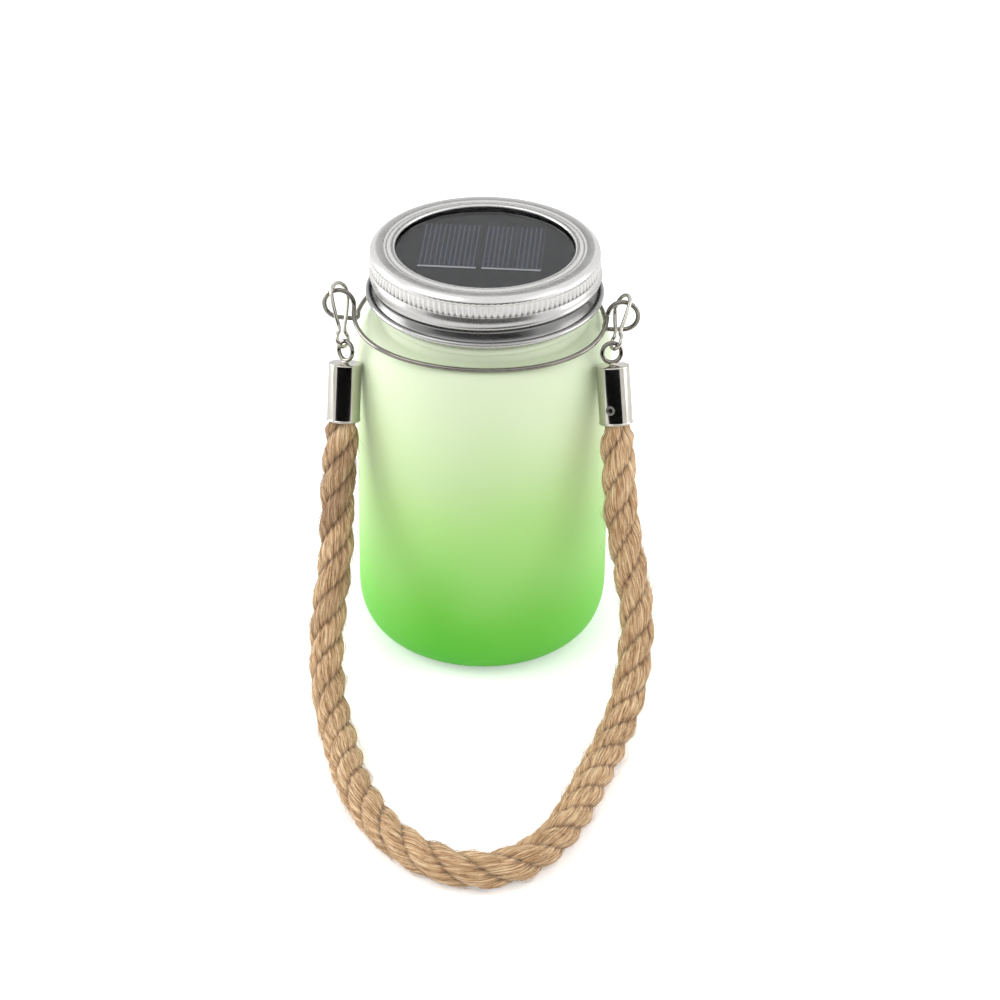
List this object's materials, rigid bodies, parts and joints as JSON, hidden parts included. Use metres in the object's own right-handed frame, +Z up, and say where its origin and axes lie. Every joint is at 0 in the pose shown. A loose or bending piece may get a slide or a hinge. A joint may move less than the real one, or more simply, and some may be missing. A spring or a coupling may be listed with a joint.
{
  "type": "solar mason jar lantern",
  "caption": "Frosted glass screw-top jar lantern with a solar lamp insert in the band, a light string inside, a neck wire with wire clips and a rope handle.",
  "frame": {"origin": "middle of the flat foot of the jar, on the surface that it stands on", "axes": "+Z up along the jar's axis, X through the two ears of the neck wire, -Y towards the side where the handle lies"},
  "size_m": [0.1112, 0.1965, 0.1407],
  "materials": {
    "frosted_glass": "frosted spray coat that runs from near white at the shoulder to green at the foot",
    "tinplate": "satin rolled sheet with a bright knurl and curl",
    "white_rubber": "matt moulded silicone",
    "black_plastic": "fine-textured moulded ABS",
    "clear_cover": "glossy clear cover",
    "silicon_cell": "dark blue anti-reflection coat with fine printed fingers",
    "tinned_ribbon": "tinned copper ribbon",
    "black_board": "black lacquered board",
    "lead_insulation": "extruded vinyl",
    "green_board": "green solder mask",
    "chip_epoxy": "moulded black epoxy",
    "copper_coil": "enamelled copper winding",
    "battery_sleeve": "plain shrink sleeve",
    "nickel": "polished nickel plate",
    "zinc_screw": "bright zinc",
    "white_plastic": "moulded plastic",
    "black_rubber": "moulded rubber",
    "string_insulation": "enamelled wire pair",
    "clear_bead": "clear epoxy drop",
    "jute": "three-strand laid jute with loose fibres"
  },
  "bodies": {
    "jar": {"glass_jar": "frosted_glass"},
    "collar": {"neck_wire": "nickel"},
    "handle": {"clip_left": "nickel", "clip_right": "nickel", "eye_left": "nickel", "eye_right": "nickel", "ferrule_left": "nickel", "ferrule_right": "nickel", "set_screws": "zinc_screw", "rope_handle": "jute"},
    "insert": {"seal_ring": "white_rubber", "module_housing": "black_plastic", "panel_cover": "clear_cover", "solar_cells": "silicon_cell", "cell_tabs": "tinned_ribbon", "panel_board": "black_board", "panel_leads": "lead_insulation", "circuit_board": "green_board", "controller_chip": "chip_epoxy", "inductor_coil": "copper_coil", "hookup_leads": "lead_insulation", "battery_cell": "battery_sleeve", "battery_spring": "nickel", "battery_contact": "nickel", "base_cover": "black_plastic", "cover_screws": "zinc_screw", "switch_body": "black_plastic", "string_grommet": "black_rubber", "string_wire": "string_insulation", "string_lights": "clear_bead"},
    "band": {"screw_band": "tinplate"},
    "knob": {"switch_knob": "white_plastic"},
    "door": {"battery_door": "black_plastic"}
  },
  "joints": [
    {"name": "collar_turn", "type": "hinge", "parent": "jar", "child": "collar", "pos_m": [0, 0, 0.116], "axis": [0, 0, 1], "continuous": true},
    {"name": "handle_swing", "type": "hinge", "parent": "collar", "child": "handle", "pos_m": [0, -0.005, 0.1248], "axis": [-1, 0, 0], "range_deg": [0, 250]},
    {"name": "lid_lift", "type": "slide", "parent": "jar", "child": "insert", "axis": [0, 0, 1], "range_m": [0, 0.00662]},
    {"name": "band_turn", "type": "hinge", "parent": "insert", "child": "band", "pos_m": [0, 0, 0.13], "axis": [0, 0, 1], "range_deg": [0, 468]},
    {"name": "switch_slide", "type": "slide", "parent": "insert", "child": "knob", "axis": [1, 0, 0], "range_m": [0, 0.002]},
    {"name": "door_drop", "type": "slide", "parent": "insert", "child": "door", "axis": [0, 0, -1], "range_m": [0, 0.005]}
  ],
  "couplings": [
    {"joint": "lid_lift", "follows": "band_turn", "m_per_rad": 0.00080851}
  ]
}
